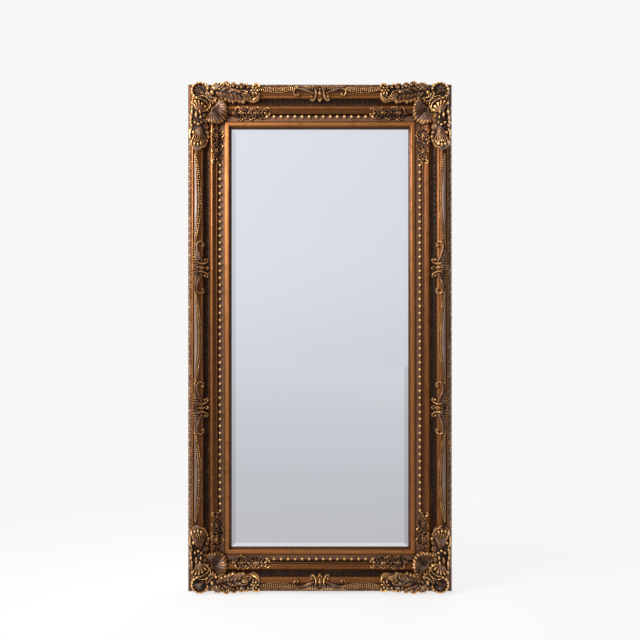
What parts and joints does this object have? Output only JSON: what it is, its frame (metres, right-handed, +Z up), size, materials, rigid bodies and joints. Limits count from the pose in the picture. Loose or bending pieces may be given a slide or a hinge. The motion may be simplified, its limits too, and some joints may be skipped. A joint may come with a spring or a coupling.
{
  "type": "carved floor mirror",
  "caption": "Tall bevelled floor mirror in a deep carved and gilded mitred frame, with board, turn buttons and hinged hanging rings at the back",
  "frame": {"origin": "middle of the flat bottom edge, at the centre of the bounding box seen from above", "axes": "+X to the viewer's right when facing the glass, +Y away from the viewer to the wall, +Z up along the mirror's height"},
  "size_m": [0.895, 0.0892, 1.72],
  "materials": {
    "moulding": "dark brown stain under rubbed antique gold, satin",
    "leaf_strips": "composition ornament, antique gold over dark brown",
    "beads": "composition ornament, rubbed gold on the high points",
    "carvings": "composition ornament, antique gold with dark recesses",
    "mirror": "silvered float glass, bevelled",
    "felt": "black felt tape",
    "foam": "white closed-cell foam sheet",
    "board": "bare fibreboard",
    "plates": "zinc plated pressed steel",
    "screws": "zinc plated",
    "hangers": "nickel plated",
    "bumpers": "soft black rubber"
  },
  "bodies": {
    "frame": {"rail_left": "moulding", "rail_right": "moulding", "rail_top": "moulding", "rail_bottom": "moulding", "outer_leaf_band_left": "leaf_strips", "outer_leaf_band_right": "leaf_strips", "outer_leaf_band_top": "leaf_strips", "outer_leaf_band_bottom": "leaf_strips", "inner_leaf_band_left": "leaf_strips", "inner_leaf_band_right": "leaf_strips", "inner_leaf_band_top": "leaf_strips", "inner_leaf_band_bottom": "leaf_strips", "pearl_row_left": "beads", "pearl_row_right": "beads", "pearl_row_top": "beads", "pearl_row_bottom": "beads", "bead_swags_left": "beads", "bead_swags_right": "beads", "bead_swags_top": "beads", "bead_swags_bottom": "beads", "cartouche_left_upper": "carvings", "cartouche_left_lower": "carvings", "cartouche_right_upper": "carvings", "cartouche_right_lower": "carvings", "cartouche_top": "carvings", "cartouche_bottom": "carvings", "corner_carving_top_left": "carvings", "corner_carving_top_right": "carvings", "corner_carving_bottom_left": "carvings", "corner_carving_bottom_right": "carvings", "corner_scallop_top_left": "carvings", "corner_scallop_top_right": "carvings", "corner_scallop_bottom_left": "carvings", "corner_scallop_bottom_right": "carvings", "flower_sprays_top_left": "carvings", "flower_sprays_top_right": "carvings", "flower_sprays_bottom_left": "carvings", "flower_sprays_bottom_right": "carvings", "mirror_glass": "mirror", "glass_edge_felt": "felt", "foam_sheet": "foam", "backing_board": "board", "turn_button_screws": "screws", "corner_plates": "plates", "corner_plate_screws": "screws", "hanger_strap_left": "hangers", "hanger_strap_right": "hangers", "hanger_screws": "screws", "wall_bumpers": "bumpers"},
    "turn_button_left_upper": {"turn_button_left_upper": "plates"},
    "turn_button_left_middle": {"turn_button_left_middle": "plates"},
    "turn_button_left_lower": {"turn_button_left_lower": "plates"},
    "turn_button_right_upper": {"turn_button_right_upper": "plates"},
    "turn_button_right_middle": {"turn_button_right_middle": "plates"},
    "turn_button_right_lower": {"turn_button_right_lower": "plates"},
    "turn_button_top": {"turn_button_top": "plates"},
    "turn_button_bottom": {"turn_button_bottom": "plates"},
    "hanging_ring_left": {"hanging_ring_left": "hangers"},
    "hanging_ring_right": {"hanging_ring_right": "hangers"}
  },
  "joints": [
    {"name": "turn_button_left_upper_turn", "type": "hinge", "parent": "frame", "child": "turn_button_left_upper", "pos_m": [-0.324, 0.03832, 1.34], "axis": [0, 1, 0], "continuous": true},
    {"name": "turn_button_left_middle_turn", "type": "hinge", "parent": "frame", "child": "turn_button_left_middle", "pos_m": [-0.324, 0.03832, 0.86], "axis": [0, 1, 0], "continuous": true},
    {"name": "turn_button_left_lower_turn", "type": "hinge", "parent": "frame", "child": "turn_button_left_lower", "pos_m": [-0.324, 0.03832, 0.38], "axis": [0, 1, 0], "continuous": true},
    {"name": "turn_button_right_upper_turn", "type": "hinge", "parent": "frame", "child": "turn_button_right_upper", "pos_m": [0.324, 0.03832, 1.34], "axis": [0, 1, 0], "continuous": true},
    {"name": "turn_button_right_middle_turn", "type": "hinge", "parent": "frame", "child": "turn_button_right_middle", "pos_m": [0.324, 0.03832, 0.86], "axis": [0, 1, 0], "continuous": true},
    {"name": "turn_button_right_lower_turn", "type": "hinge", "parent": "frame", "child": "turn_button_right_lower", "pos_m": [0.324, 0.03832, 0.38], "axis": [0, 1, 0], "continuous": true},
    {"name": "turn_button_top_turn", "type": "hinge", "parent": "frame", "child": "turn_button_top", "pos_m": [0, 0.03832, 1.5965], "axis": [0, 1, 0], "continuous": true},
    {"name": "turn_button_bottom_turn", "type": "hinge", "parent": "frame", "child": "turn_button_bottom", "pos_m": [0, 0.03832, 0.1235], "axis": [0, 1, 0], "continuous": true},
    {"name": "hanging_ring_left_swing", "type": "hinge", "parent": "frame", "child": "hanging_ring_left", "pos_m": [-0.389, 0.041, 1.26], "axis": [1, 0, 0], "range_deg": [0, 180]},
    {"name": "hanging_ring_right_swing", "type": "hinge", "parent": "frame", "child": "hanging_ring_right", "pos_m": [0.389, 0.041, 1.26], "axis": [1, 0, 0], "range_deg": [0, 180]}
  ]
}
